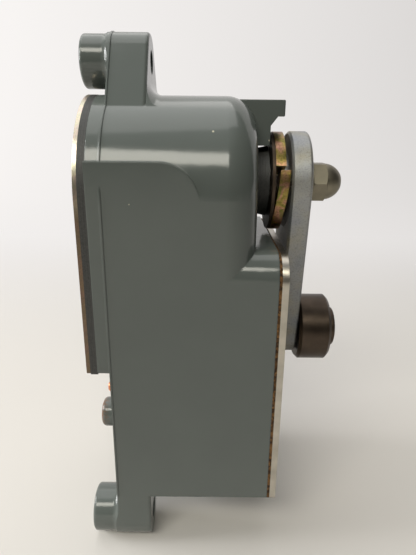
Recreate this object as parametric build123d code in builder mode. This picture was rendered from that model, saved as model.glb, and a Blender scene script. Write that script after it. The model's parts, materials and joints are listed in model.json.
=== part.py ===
from build123d import *
import math
import os

# Roller lever limit switch in a die-cast housing.
# Millimetres. X = 0 is the mounting surface and +X runs out of the front, +Z is up.
# The origin is midway between the two lower mounting holes, on the mounting surface.

# Clearances
running_gap = 0.05
sliding_gap = 0.3
seat_gap = 0.02
seal_gap = 0.35
crank_ring_gap = 0.7
crank_slide_gap = 2.7
tang_side_gap = 0.6

# Mounting ears and standoff bosses
body_width = 53.0
boss_radius = 6.4
ear_radius = 6.78
ear_set_in = 0.02
boss_flare = 2.0
standoff = 7.35
mount_hole_radius = 2.8
mount_rise = 120.7
top_ear_thickness = 9.45
low_ear_thickness = 9.0
ear_base_width = 30.6
ear_base_drop = 4.0
ear_root_round = 3.0
ear_root_sweep = 60.0
edge_round = 0.8

# Housing, outside
body_floor = 9.4
shaft_height = 91.7
arch_rise = 21.2
arch_flat = 8.0
head_depth = 42.8
box_step = 5.2
ledge_drop = 13.8
box_corner = 6.5
foot_corner = 0.8
front_round = 7.2
head_overlap = 12.0
head_foot_corner = 1.0
rim_depth = 2.95
rim_drop = 44.3
pad_rise = 7.0
pad_length = 25.0
pad_corner = 9.0
parting_width = 0.45
parting_height = 0.2

# Housing, inside
wall = 4.0
front_wall = 4.6
chamber_corner = 2.0
partition = 3.0
bearing_radius = 9.5

# Stop lug over the shaft
lug_width = 12.0
lug_reach = 7.35
lug_tip_thickness = 3.9
lug_web_depth = 3.9
lug_slope_rise = 2.2
lug_slope_run = 1.7
lug_top_drop = 0.8
lug_round = 0.4

# Conduit entry, tapped for half inch pipe
conduit_radius = 9.1
conduit_length = 12.0
conduit_boss_radius = 13.0
conduit_chamfer = 1.2

# Covers, gaskets and their screws
rear_gasket_thickness = 1.7
rear_gasket_overhang = 0.3
rear_cover_thickness = 0.95
front_gasket_thickness = 0.7
front_cover_thickness = 1.6
front_cover_set_down = 0.6
gasket_width = 6.0
cover_screw_radius = 2.0
cover_screw_head_radius = 3.5
cover_screw_length = 8.0
screw_hole_gap = 0.25
rear_screw_head_radius = 3.0
cover_boss_radius = 4.5
cover_boss_length = 9.0
cover_screw_inset = 5.7
slot_width = 1.0
slot_depth = 0.7
slot_turn = 35.0
ground_slot_width = 0.5
screw_head_round = 0.5

# Plug and ground screw on the back of the body
plug_radius = 1.9
plug_boss_radius = 4.05
plug_boss_length = 5.2
plug_boss_round = 1.2
plug_inset = 13.0
plug_height = 28.0
plug_length = 8.0
ground_screw_radius = 0.9
ground_head_radius = 1.3
ground_head_height = 2.3
ground_inset = 8.5
ground_height = 39.0
ground_length = 3.0

# Shaft, bushing and seal
shaft_radius = 4.75
bushing_wall = 1.6
collar_radius = 7.6
collar_length = 1.1
neck_radius = 6.9
pilot_radius = 4.35
stud_radius = 2.4
seal_length = 3.9
seal_base_radius = 8.6
seal_lip_radius = 9.2
seal_wall = 0.85
seal_floor = 1.0
ring_thickness = 1.0
ring_width = 2.2
ring_groove_depth = 0.6
ring_opening = 4.0

# Washers, lever and nut
backing_washer_radius = 12.6
backing_washer_thickness = 0.8
lock_washer_radius = 12.8
lock_washer_inner_radius = 7.4
lock_washer_thickness = 2.5
lock_washer_rise = 1.2
lock_washer_split = 4.5
lock_washer_ramp = 54.0
lock_washer_end_angle = 156.5
lever_thickness = 5.2
lever_hub_radius = 12.95
lever_length = 42.5
lever_end_radius = 7.3
lever_round = 0.8
lever_back_chamfer = 0.55
serration_count = 90
serration_depth = 0.5
serration_inner_radius = 7.6
serration_outer_radius = 12.2
nut_washer_radius = 6.4
nut_washer_thickness = 1.6
nut_flats = 9.525
nut_hex_length = 3.9
nut_length = 8.0
nut_tip_radius = 2.0
nut_chamfer = 0.4
nut_dome_bulge = 0.65
stud_end_room = 2.0
stud_chamfer = 0.8

# Roller and its pin
roller_radius = 9.525
roller_width = 9.0
roller_chamfer = 0.8
roller_bush_wall = 1.8
roller_pin_radius = 3.15
pin_head_radius = 5.65
pin_head_thickness = 1.6
pin_head_round = 0.5

# Crank on the inner end of the shaft
crank_thickness = 7.0
crank_radius = 11.0
crank_throw = 7.5
crank_pin_radius = 2.0
crank_pin_reach = 6.5
crank_screw_radius = 2.0
crank_screw_length = 5.4
crank_screw_slot = 0.5
shaft_inner_reach = 1.5

# Sliding plate, its guide and its springs
# The lever turns 45 degrees each way, and the plate travels slide_travel each way.
lever_swing = 45.0
slide_ratio = 0.92
slide_thickness = 3.0
slide_stem_width = 12.0
slide_head_width = 18.0
slide_head_offset = 3.0
slide_head_top = 7.3
slide_head_bottom = 4.3
slide_slot_length = 9.0
slide_slot_centre = 6.2
slide_tail = 34.5
slide_corner = 3.0
spring_bay = 7.4
tab_height = 25.1
tab_thickness = 2.4
tab_width = 9.0
guide_sheet = 1.5
guide_step = 0.95
guide_top_drop = 10.1
guide_bottom_drop = 39.7
guide_width = 18.0
guide_wing_edge = 3.0
guide_wing_height = 8.4
guide_post_side = 12.8
guide_post_radius = 3.2
guide_post_low = 29.2
guide_post_high = 15.7
guide_screw_radius = 1.5
guide_screw_head_radius = 2.8
guide_screw_head = 1.5
guide_screw_length = 7.0
spring_radius = 2.6
spring_wire_radius = 0.4
spring_turns = 4.5
spring_seat_gap = 0.25

# Contact carriage and moving contact
tang_end = 4.8
tang_height = 8.0
tang_width = 7.0
carriage_width = 8.0
carriage_depth = 9.0
carriage_bottom_drop = 46.7
carriage_screw_radius = 1.5
carriage_screw_head_radius = 2.6
carriage_screw_length = 8.0
contact_drop = 39.7
bridge_thickness = 1.2
bridge_width = 4.0
bridge_half_span = 13.0
bridge_offset = 3.0
tip_radius = 1.5
tip_thickness = 1.0
tip_side = 11.0
carriage_window_height = 9.0
carriage_window_depth = 5.5
contact_spring_radius = 1.4
contact_spring_wire = 0.25
contact_spring_turns = 2.5

# Contact block and fixed contacts
block_width = 31.0
block_plate = 3.8
block_depth = 17.4
block_top_drop = 20.7
block_bottom_drop = 58.7
tower_inner_side = 8.6
rib_width = 2.0
rib_depth = 2.0
strip_thickness = 1.2
strip_width = 6.0
contact_gap = 0.3
terminal_screw_radius = 1.7
terminal_head_radius = 2.7
terminal_head_height = 2.0
terminal_screw_length = 8.0
terminal_clamp_radius = 2.9
terminal_clamp_thickness = 0.7
block_screw_radius = 1.9
block_screw_head_radius = 3.0
block_screw_head = 2.0
block_screw_length = 6.1

# Places worked out from the sizes above
half_width = body_width / 2
mount_side = half_width - ear_radius - ear_set_in
arch_radius = half_width - arch_flat / 2
box_depth = head_depth + box_step
shaft_z = shaft_height
arch_top = shaft_z + arch_rise
shaft_axis = Axis((0, 0, shaft_z), (1, 0, 0))
ledge_z = shaft_z - ledge_drop
rim_x = standoff - rim_depth
rim_bottom = shaft_z - rim_drop
rear_cover_x = rim_x - rear_gasket_thickness
rear_cover_face = rear_cover_x - rear_cover_thickness
front_cover_x = box_depth + front_gasket_thickness
front_cover_face = front_cover_x + front_cover_thickness
front_cover_top = ledge_z - front_cover_set_down
chamber_front = head_depth - front_wall
rear_floor = rim_bottom + wall
guide_plate_back = rim_x + guide_step
slide_back = guide_plate_back + guide_sheet + spring_bay
slide_front = slide_back + slide_thickness
crank_back = slide_front + crank_slide_gap
tang_drop = slide_tail - tang_end
crank_front = crank_back + crank_thickness
ring_x = crank_front + crank_ring_gap
bearing_back = ring_x + ring_thickness + sliding_gap
bushing_radius = shaft_radius + running_gap + bushing_wall
partition_back = slide_front + sliding_gap
partition_front = partition_back + partition
slide_travel = crank_throw * slide_ratio * math.radians(lever_swing)
collar_back = head_depth + seal_length - collar_length + sliding_gap
backing_washer_x = collar_back + collar_length
lock_washer_x = backing_washer_x + backing_washer_thickness
lever_back = lock_washer_x + lock_washer_thickness + lock_washer_rise + sliding_gap
lever_front = lever_back + lever_thickness
nut_x = lever_front + nut_washer_thickness
roller_x = lever_front + sliding_gap
pin_head_x = roller_x + roller_width + sliding_gap
roller_z = shaft_z - lever_length
bush_radius = roller_pin_radius + running_gap + roller_bush_wall
rear_screw_places = [
    (side * spot[0], spot[1])
    for side in (-1, 1)
    for spot in (
        (half_width - cover_screw_inset, rim_bottom + cover_screw_inset),
        (
            half_width - arch_radius + (arch_radius - cover_screw_inset) * math.sqrt(0.5),
            arch_top - arch_radius + (arch_radius - cover_screw_inset) * math.sqrt(0.5),
        ),
    )
]
front_screw_places = [
    (side * (half_width - cover_screw_inset), height)
    for side in (-1, 1)
    for height in (body_floor + cover_screw_inset, ledge_z - cover_screw_inset)
]
guide_post_places = [
    (side * guide_post_side, shaft_z - drop)
    for side in (-1, 1)
    for drop in (guide_post_low, guide_post_high)
]
plug_place = [(plug_inset - half_width, plug_height)]
ground_place = [(ground_inset - half_width, ground_height)]
guide_wing_width = 2 * (guide_post_side + guide_wing_edge)
conduit_x = (standoff + wall + box_depth) / 2
block_back = partition_front
block_plate_front = block_back + block_plate
block_front = block_back + block_depth
contact_z = shaft_z - contact_drop
bridge_x = block_plate_front + bridge_offset
contact_reach = bridge_thickness / 2 + tip_thickness + slide_travel + contact_gap
strip_offset = contact_reach + tip_thickness
block_screw_side = block_width / 2 - block_screw_head_radius
block_screw_places = [(block_screw_side, contact_z), (-block_screw_side, contact_z)]
tower_width = block_width / 2 - tower_inner_side
terminal_side = tower_inner_side + tower_width / 2


def cylinder_x(start, length, radius, places=((0.0, 0.0),), mode=Mode.ADD):
    """Round bars or holes along X at (Y, Z) places, added to the open part."""
    with BuildSketch(Plane.YZ.offset(start)) as section:
        with Locations(*places):
            Circle(radius)
    extrude(section.sketch, amount=length, mode=mode)


def block_yz(start, length, width, low, high, centre=0.0, mode=Mode.ADD):
    """A rectangular block of one depth along X, added to the open part."""
    with BuildSketch(Plane.YZ.offset(start)) as section:
        with Locations((centre, (low + high) / 2)):
            Rectangle(width, high - low)
    extrude(section.sketch, amount=length, mode=mode)


def arch_outline(inset, bottom, corner):
    """The arched outline of the head, set in from the body and cut off at a height."""
    with BuildSketch() as outline:
        with Locations((0, bottom)):
            Rectangle(
                body_width - 2 * inset,
                arch_top - inset - bottom,
                align=(Align.CENTER, Align.MIN),
            )
        fillet(outline.vertices().group_by(Axis.Y)[-1], arch_radius - inset)
        fillet(outline.vertices().group_by(Axis.Y)[0], corner)
    return outline.sketch


def box_outline(inset, top, corner, foot):
    """The outline of the lower body, set in from its sides, with its upper and lower corners."""
    with BuildSketch() as outline:
        with Locations((0, body_floor + inset)):
            Rectangle(
                body_width - 2 * inset,
                top - body_floor - inset,
                align=(Align.CENTER, Align.MIN),
            )
        fillet(outline.vertices().group_by(Axis.Y)[-1], corner)
        fillet(outline.vertices().group_by(Axis.Y)[0], foot)
    return outline.sketch


def slot_across(start, depth, radius, places, width=slot_width):
    """Screwdriver slots across round heads, cut into the open part."""
    with BuildSketch(Plane.YZ.offset(start)) as section:
        with Locations(*places):
            Rectangle(2 * (radius + width), width, rotation=slot_turn)
    extrude(section.sketch, amount=depth, mode=Mode.SUBTRACT)


def flat_head(face, radius, shank, places, mode=Mode.ADD, inward=-1):
    """Countersunk screw heads or seats with their tops at one face."""
    with BuildSketch(Plane.YZ.offset(face)) as section:
        with Locations(*places):
            Circle(radius)
    extrude(section.sketch, amount=inward * (radius - shank), taper=45, mode=mode)


def coil(centre_x, centre_y, low, high, radius, wire, turns):
    """A coil spring that stands along Z between two heights."""
    height = high - low - 2 * wire
    with BuildPart() as coil_part:
        with BuildLine() as path:
            Helix(
                pitch=height / turns,
                height=height,
                radius=radius,
                center=(centre_x, centre_y, low + wire),
            )
        with BuildSketch(Plane(origin=path.line @ 0, z_dir=path.line % 0)):
            Circle(wire)
        sweep(path=path.line, is_frenet=True)
    return coil_part.part


def root_section(face, height, radius, side):
    """The section of a concave root between a face across X and a wall at a height."""
    middle = radius * (1 - math.sqrt(0.5))
    with BuildSketch(Plane.XZ) as section:
        with BuildLine():
            Polyline(
                (face, height + radius),
                (face, height - edge_round),
                (face + side * radius, height - edge_round),
                (face + side * radius, height),
            )
            ThreePointArc(
                (face + side * radius, height),
                (face + side * middle, height + middle),
                (face, height + radius),
            )
        make_face()
    return section.sketch


# Ears of the casting, each with its standoff boss
with BuildPart() as top_ear:
    with BuildSketch(Plane.YZ.offset(standoff)) as top_ear_outline:
        with Locations((0, mount_rise)):
            Circle(ear_radius)
        with Locations((0, arch_top - ear_base_drop)):
            Rectangle(ear_base_width, 1)
        make_hull()
    extrude(amount=top_ear_thickness)
    fillet(top_ear.faces().sort_by(Axis.X)[-1].edges().sort_by(Axis.Z)[1:], edge_round)

mount_places = [(0, mount_rise), (mount_side, 0), (-mount_side, 0)]
with BuildSketch() as low_ear_outline:
    with Locations(*mount_places[1:]):
        Circle(ear_radius)
        Rectangle(2 * ear_radius, body_floor + wall, align=(Align.CENTER, Align.MIN))
with BuildPart() as low_ears:
    with BuildSketch(Plane.YZ.offset(standoff)):
        add(low_ear_outline.sketch)
    extrude(amount=low_ear_thickness)
    fillet(low_ears.faces().group_by(Axis.X)[-1].edges(), edge_round)

with BuildPart() as bosses:
    cylinder_x(0, standoff, boss_radius, mount_places)
    fillet(bosses.faces().group_by(Axis.X)[0].edges(), edge_round)
with BuildSketch() as back_outline:
    add(top_ear_outline.sketch_local)
    add(low_ear_outline.sketch)
    add(box_outline(0, ledge_z, box_corner, foot_corner))

# Concave roots of the bosses, kept inside the outline of the back
with BuildPart() as boss_roots:
    boss_root = revolve(
        root_section(standoff, boss_radius, boss_flare, -1),
        axis=Axis.X,
        mode=Mode.PRIVATE,
    )
    with Locations(*[(0, y, z) for y, z in mount_places]):
        add(boss_root)
    with BuildSketch(Plane.YZ):
        add(back_outline.sketch)
    extrude(amount=standoff, mode=Mode.INTERSECT)

# Concave root between the front of the top ear and the arch
with BuildPart() as ear_root:
    ear_front = standoff + top_ear_thickness
    extrude(root_section(ear_front, arch_top, ear_root_round, 1), amount=arch_flat / 2, both=True)
    arch_root = revolve(
        root_section(ear_front, arch_radius, ear_root_round, 1),
        axis=Axis.X,
        revolution_arc=ear_root_sweep,
        mode=Mode.PRIVATE,
    )
    with Locations((0, -arch_flat / 2, arch_top - arch_radius)):
        add(arch_root)
    mirror(about=Plane.XZ)
    with BuildSketch(Plane.YZ.offset(standoff)):
        add(top_ear_outline.sketch_local)
    extrude(amount=top_ear_thickness + ear_root_round, mode=Mode.INTERSECT)

# Head of the casting, with its rounded front edge and its ear
with BuildPart() as head:
    with BuildSketch(Plane.YZ.offset(standoff)):
        add(arch_outline(0, ledge_z - head_overlap, head_foot_corner))
    extrude(amount=head_depth - standoff)
    fillet(head.faces().sort_by(Axis.X)[-1].edges().sort_by(Axis.Z)[3:], front_round)
    # Rim that carries the rear cover
    with BuildSketch(Plane.YZ.offset(rim_x)):
        add(arch_outline(0, rim_bottom, foot_corner))
    extrude(amount=rim_depth)
    add(top_ear.part)
    add(ear_root.part)

# Stop lug over the shaft
with BuildPart() as lug:
    with BuildSketch(Plane.XZ.offset(-lug_width / 2)):
        with BuildLine():
            lug_top = arch_top - lug_top_drop
            Polyline(
                (head_depth - front_round, lug_top),
                (head_depth + lug_reach, lug_top),
                (head_depth + lug_reach, lug_top - lug_tip_thickness),
                (head_depth + lug_web_depth + lug_slope_run, lug_top - lug_tip_thickness),
                (head_depth + lug_web_depth, lug_top - lug_tip_thickness - lug_slope_rise),
                (head_depth + lug_web_depth, shaft_z + seal_lip_radius + sliding_gap),
                (head_depth - front_round, shaft_z + seal_lip_radius + sliding_gap),
                close=True,
            )
        make_face()
    extrude(amount=lug_width)
    fillet(lug.faces().sort_by(Axis.X)[-1].edges(), lug_round)

# Boss for the plug on the back
with BuildPart() as plug_boss:
    cylinder_x(standoff - plug_boss_length, plug_boss_length, plug_boss_radius, plug_place)
    fillet(plug_boss.faces().sort_by(Axis.X)[0].edges(), plug_boss_round)

# Housing
with BuildPart() as housing:
    with BuildSketch(Plane.YZ.offset(standoff)):
        add(box_outline(0, ledge_z, box_corner, foot_corner))
    extrude(amount=box_depth - standoff)
    add(head.part)
    # Flat pads on both sides of the arch
    for side_plane in (Plane.XZ.offset(half_width), Plane.XZ.offset(-half_width)):
        inward = -1 if side_plane.origin.Y < 0 else 1
        with BuildSketch(side_plane):
            with Locations((rim_x, ledge_z)):
                pad = Rectangle(pad_length, ledge_drop + pad_rise, align=(Align.MIN, Align.MIN))
            fillet(pad.vertices().sort_by(Axis.X).sort_by(Axis.Y)[-1], pad_corner)
        extrude(amount=inward * wall / 2)
    # Ridge left by the parting line of the mould
    with BuildSketch(Plane.YZ.offset(standoff)):
        add(arch_outline(-parting_height, body_floor, foot_corner))
        offset(top_ear_outline.sketch_local, amount=parting_height, mode=Mode.ADD)
    extrude(amount=parting_width)
    add(low_ears.part)
    add(bosses.part)
    add(boss_roots.part)
    add(lug.part)
    add(plug_boss.part)
    # Chamber behind the arch, open at the back
    with BuildSketch(Plane.YZ.offset(rim_x)):
        add(arch_outline(wall, rear_floor, chamber_corner))
    extrude(amount=partition_back - rim_x, mode=Mode.SUBTRACT)
    with BuildSketch(Plane.YZ.offset(partition_back)):
        add(arch_outline(wall, ledge_z, chamber_corner))
    extrude(amount=chamber_front - partition_back, mode=Mode.SUBTRACT)
    # Contact chamber, open at the front
    with BuildSketch(Plane.YZ.offset(partition_front)):
        add(box_outline(wall, ledge_z - wall, box_corner - wall, chamber_corner))
    extrude(amount=box_depth - partition_front, mode=Mode.SUBTRACT)
    with BuildSketch(Plane.YZ.offset(standoff + wall)):
        add(box_outline(wall, rim_bottom, chamber_corner, chamber_corner))
    extrude(amount=partition_front - standoff - wall, mode=Mode.SUBTRACT)
    # Window between the chambers for the tang of the carriage
    block_yz(
        partition_back,
        partition,
        tang_width + 2 * tang_side_gap,
        shaft_z - tang_drop - tang_height / 2 - slide_travel - sliding_gap,
        shaft_z - tang_drop + tang_height / 2 + slide_travel + sliding_gap,
        mode=Mode.SUBTRACT,
    )
    # Bosses inside
    cylinder_x(bearing_back, chamber_front - bearing_back, bearing_radius, [(0, shaft_z)])
    cylinder_x(rim_x, cover_boss_length, cover_boss_radius, rear_screw_places)
    cylinder_x(box_depth - cover_boss_length, cover_boss_length, cover_boss_radius, front_screw_places)
    cylinder_x(
        guide_plate_back + guide_sheet,
        partition_back - guide_plate_back - guide_sheet,
        guide_post_radius,
        guide_post_places,
    )
    with BuildSketch(Plane.XY.offset(body_floor)):
        with Locations((conduit_x, 0)):
            Circle(conduit_boss_radius)
    extrude(amount=conduit_length)
    # Bores and screw holes
    cylinder_x(0, standoff + top_ear_thickness, mount_hole_radius, mount_places, Mode.SUBTRACT)
    with BuildSketch(Plane.XY.offset(body_floor)):
        with Locations((conduit_x, 0)):
            Circle(conduit_radius)
    extrude(amount=conduit_length, mode=Mode.SUBTRACT)
    with BuildSketch(Plane.XY.offset(body_floor)):
        with Locations((conduit_x, 0)):
            Circle(conduit_radius + conduit_chamfer)
    extrude(amount=conduit_chamfer, taper=45, mode=Mode.SUBTRACT)
    cylinder_x(
        bearing_back,
        head_depth - bearing_back,
        bushing_radius + seat_gap,
        [(0, shaft_z)],
        Mode.SUBTRACT,
    )
    cylinder_x(
        rim_x,
        cover_screw_length - rear_gasket_thickness,
        cover_screw_radius + seat_gap,
        rear_screw_places,
        Mode.SUBTRACT,
    )
    cylinder_x(
        box_depth - cover_screw_length + front_gasket_thickness,
        cover_screw_length - front_gasket_thickness,
        cover_screw_radius + seat_gap,
        front_screw_places,
        Mode.SUBTRACT,
    )
    cylinder_x(
        guide_plate_back + guide_sheet,
        guide_screw_length - guide_sheet,
        guide_screw_radius + seat_gap,
        guide_post_places,
        Mode.SUBTRACT,
    )
    cylinder_x(
        standoff - plug_boss_length,
        plug_length,
        plug_radius + seat_gap,
        plug_place,
        Mode.SUBTRACT,
    )
    cylinder_x(standoff, ground_length, ground_screw_radius + seat_gap, ground_place, Mode.SUBTRACT)
    cylinder_x(
        block_plate_front - block_screw_length,
        block_screw_length,
        block_screw_radius + seat_gap,
        block_screw_places,
        Mode.SUBTRACT,
    )
housing.part.label = "housing"

# Rear gasket and cover
with BuildPart() as rear_gasket:
    with BuildSketch(Plane.YZ.offset(rear_cover_x)):
        add(arch_outline(0, rim_bottom - rear_gasket_overhang, foot_corner))
        add(
            arch_outline(gasket_width, rim_bottom + gasket_width, chamber_corner),
            mode=Mode.SUBTRACT,
        )
        with Locations(*rear_screw_places):
            Circle(cover_boss_radius)
        with Locations(*rear_screw_places):
            Circle(cover_screw_radius + screw_hole_gap, mode=Mode.SUBTRACT)
    extrude(amount=rear_gasket_thickness)
rear_gasket.part.label = "rear_gasket"

with BuildPart() as rear_cover:
    with BuildSketch(Plane.YZ.offset(rear_cover_face)):
        add(arch_outline(0, rim_bottom, foot_corner))
        with Locations(*rear_screw_places):
            Circle(cover_screw_radius + screw_hole_gap, mode=Mode.SUBTRACT)
    extrude(amount=rear_cover_thickness)
    flat_head(
        rear_cover_face,
        rear_screw_head_radius,
        cover_screw_radius + screw_hole_gap,
        rear_screw_places,
        Mode.SUBTRACT,
        inward=1,
    )
rear_cover.part.label = "rear_cover"

with BuildPart() as rear_cover_screws:
    cylinder_x(
        rear_cover_face,
        rear_cover_thickness + cover_screw_length,
        cover_screw_radius,
        rear_screw_places,
    )
    flat_head(
        rear_cover_face,
        rear_screw_head_radius - 2 * seat_gap,
        cover_screw_radius,
        rear_screw_places,
        inward=1,
    )
    slot_across(rear_cover_face, slot_depth, rear_screw_head_radius, rear_screw_places)
rear_cover_screws.part.label = "rear_cover_screws"

# Front gasket and cover
with BuildPart() as front_gasket:
    with BuildSketch(Plane.YZ.offset(box_depth)):
        add(box_outline(0, front_cover_top, box_corner, foot_corner))
        add(
            box_outline(gasket_width, front_cover_top - gasket_width, chamber_corner, chamber_corner),
            mode=Mode.SUBTRACT,
        )
        with Locations(*front_screw_places):
            Circle(cover_boss_radius)
        with Locations(*front_screw_places):
            Circle(cover_screw_radius + screw_hole_gap, mode=Mode.SUBTRACT)
    extrude(amount=front_gasket_thickness)
front_gasket.part.label = "front_gasket"

with BuildPart() as front_cover:
    with BuildSketch(Plane.YZ.offset(front_cover_x)):
        add(box_outline(0, front_cover_top, box_corner, foot_corner))
    extrude(amount=front_cover_thickness)
    cylinder_x(
        front_cover_x,
        front_cover_thickness,
        cover_screw_radius + screw_hole_gap,
        front_screw_places,
        Mode.SUBTRACT,
    )
    flat_head(
        front_cover_face,
        cover_screw_head_radius,
        cover_screw_radius + screw_hole_gap,
        front_screw_places,
        Mode.SUBTRACT,
    )
front_cover.part.label = "front_cover"

with BuildPart() as front_cover_screws:
    cylinder_x(
        front_cover_face - front_cover_thickness - cover_screw_length,
        front_cover_thickness + cover_screw_length,
        cover_screw_radius,
        front_screw_places,
    )
    flat_head(
        front_cover_face,
        cover_screw_head_radius - 2 * seat_gap,
        cover_screw_radius,
        front_screw_places,
    )
    slot_across(front_cover_face - slot_depth, slot_depth, cover_screw_head_radius, front_screw_places)
front_cover_screws.part.label = "front_cover_screws"

# Plug and ground screw on the back
with BuildPart() as rear_plug:
    cylinder_x(
        standoff - plug_boss_length + seat_gap,
        plug_length - seat_gap,
        plug_radius,
        plug_place,
    )
    slot_across(standoff - plug_boss_length + seat_gap, slot_depth, plug_radius, plug_place)
rear_plug.part.label = "rear_plug"

with BuildPart() as ground_screw:
    cylinder_x(standoff - ground_head_height, ground_head_height, ground_head_radius, ground_place)
    fillet(ground_screw.faces().sort_by(Axis.X)[0].edges(), screw_head_round)
    slot_across(
        standoff - ground_head_height,
        slot_depth,
        ground_head_radius,
        ground_place,
        ground_slot_width,
    )
    cylinder_x(standoff, ground_length - seat_gap, ground_screw_radius, ground_place)
ground_screw.part.label = "ground_screw"

# Bushing, shaft, ring and seal
with BuildPart() as shaft_bushing:
    cylinder_x(bearing_back, head_depth - bearing_back, bushing_radius, [(0, shaft_z)])
    cylinder_x(
        bearing_back,
        head_depth - bearing_back,
        shaft_radius + running_gap,
        [(0, shaft_z)],
        Mode.SUBTRACT,
    )
shaft_bushing.part.label = "shaft_bushing"

with BuildPart() as shaft:
    with BuildSketch(Plane.XZ):
        with BuildLine():
            Polyline(
                (crank_back - shaft_inner_reach, shaft_z),
                (crank_back - shaft_inner_reach, shaft_z + shaft_radius - edge_round),
                (crank_back - shaft_inner_reach + edge_round, shaft_z + shaft_radius),
                (ring_x, shaft_z + shaft_radius),
                (ring_x, shaft_z + shaft_radius - ring_groove_depth),
                (ring_x + ring_thickness, shaft_z + shaft_radius - ring_groove_depth),
                (ring_x + ring_thickness, shaft_z + shaft_radius),
                (collar_back, shaft_z + shaft_radius),
                (collar_back, shaft_z + collar_radius),
                (backing_washer_x, shaft_z + collar_radius),
                (backing_washer_x, shaft_z + neck_radius),
                (lever_back, shaft_z + neck_radius),
                (lever_back, shaft_z + pilot_radius),
                (lever_front - sliding_gap, shaft_z + pilot_radius),
                (lever_front - sliding_gap, shaft_z + stud_radius),
                (nut_x + nut_length - stud_end_room - stud_chamfer, shaft_z + stud_radius),
                (nut_x + nut_length - stud_end_room, shaft_z + stud_radius - stud_chamfer),
                (nut_x + nut_length - stud_end_room, shaft_z),
                close=True,
            )
        make_face()
    revolve(axis=shaft_axis)
shaft.part.label = "shaft"

with BuildPart() as retaining_ring:
    with BuildSketch(Plane.YZ.offset(ring_x)):
        with Locations((0, shaft_z)):
            Circle(shaft_radius - ring_groove_depth + seat_gap + ring_width)
            Circle(shaft_radius - ring_groove_depth + seat_gap, mode=Mode.SUBTRACT)
        with Locations((0, shaft_z - shaft_radius - ring_width)):
            Rectangle(ring_opening, 2 * ring_width + shaft_radius, mode=Mode.SUBTRACT)
    extrude(amount=ring_thickness)
retaining_ring.part.label = "retaining_ring"

with BuildPart() as shaft_seal:
    with BuildSketch(Plane.XZ):
        with BuildLine():
            Polyline(
                (head_depth, shaft_z + shaft_radius + seal_gap),
                (head_depth, shaft_z + seal_base_radius),
                (head_depth + seal_floor, shaft_z + seal_base_radius),
                (head_depth + seal_length, shaft_z + seal_lip_radius),
                (head_depth + seal_length, shaft_z + seal_lip_radius - seal_wall),
                (head_depth + seal_floor, shaft_z + seal_base_radius - seal_wall),
                (head_depth + seal_floor, shaft_z + shaft_radius + seal_gap),
                close=True,
            )
        make_face()
    revolve(axis=shaft_axis)
shaft_seal.part.label = "shaft_seal"

# Washers on the neck of the shaft
with BuildPart() as backing_washer:
    cylinder_x(backing_washer_x, backing_washer_thickness, backing_washer_radius, [(0, shaft_z)])
    cylinder_x(
        backing_washer_x,
        backing_washer_thickness,
        neck_radius + running_gap,
        [(0, shaft_z)],
        Mode.SUBTRACT,
    )
backing_washer.part.label = "backing_washer"

with BuildPart() as washer_ring:
    washer_width = lock_washer_radius - lock_washer_inner_radius
    washer_middle = lock_washer_radius - washer_width / 2
    washer_half = lock_washer_x + lock_washer_thickness / 2
    with BuildSketch(Plane.XZ) as washer_section:
        with Locations((washer_half, shaft_z + washer_middle)):
            Rectangle(lock_washer_thickness, washer_width)
    revolve(axis=shaft_axis, revolution_arc=360 - lock_washer_split - lock_washer_ramp)
    # The last part of the ring climbs to its open end
    with BuildLine() as ramp_path:
        Helix(
            pitch=lock_washer_rise * 360 / lock_washer_ramp,
            height=lock_washer_rise,
            radius=washer_middle,
            center=(washer_half, 0, shaft_z),
            direction=(1, 0, 0),
            lefthand=True,
        )
    sweep(washer_section.sketch, path=ramp_path.line, is_frenet=True)
with BuildPart() as split_lock_washer:
    # Its section stands at the top, and the ring ends one ramp and one split before it
    add(washer_ring.part.rotate(shaft_axis, lock_washer_end_angle + lock_washer_split + lock_washer_ramp - 90))
split_lock_washer.part.label = "split_lock_washer"

# Lever, a tapered arm with a serrated hub
with BuildPart() as lever:
    with BuildSketch(Plane.YZ.offset(lever_back)):
        with Locations((0, shaft_z)):
            Circle(lever_hub_radius)
        with Locations((0, roller_z)):
            Circle(lever_end_radius)
        make_hull()
    extrude(amount=lever_thickness)
    fillet(lever.faces().sort_by(Axis.X)[-1].edges(), lever_round)
    chamfer(lever.faces().sort_by(Axis.X)[0].edges(), lever_back_chamfer)
    cylinder_x(lever_back, lever_thickness, pilot_radius + seat_gap, [(0, shaft_z)], Mode.SUBTRACT)
    cylinder_x(lever_back, lever_thickness, roller_pin_radius + seat_gap, [(0, roller_z)], Mode.SUBTRACT)
    # Radial serrations in the back of the hub
    with BuildSketch(Plane.XY.offset(shaft_z + serration_inner_radius)) as groove:
        with Locations((lever_back, 0)):
            groove_width = 2 * math.pi * serration_inner_radius / serration_count
            Polygon(
                (-serration_depth, -groove_width),
                (-serration_depth, groove_width),
                (serration_depth, 0),
                align=None,
            )
    serration = extrude(
        groove.sketch,
        amount=serration_outer_radius - serration_inner_radius,
        mode=Mode.PRIVATE,
    )
    serration_step = 360 / serration_count
    serrations = [serration.rotate(shaft_axis, serration_step * turn) for turn in range(serration_count)]
    add(serrations, mode=Mode.SUBTRACT)
lever.part.label = "lever"

# Nut washer and cap nut
with BuildPart() as nut_washer:
    cylinder_x(lever_front, nut_washer_thickness, nut_washer_radius, [(0, shaft_z)])
    cylinder_x(
        lever_front,
        nut_washer_thickness,
        stud_radius + screw_hole_gap,
        [(0, shaft_z)],
        Mode.SUBTRACT,
    )
nut_washer.part.label = "nut_washer"

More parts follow.
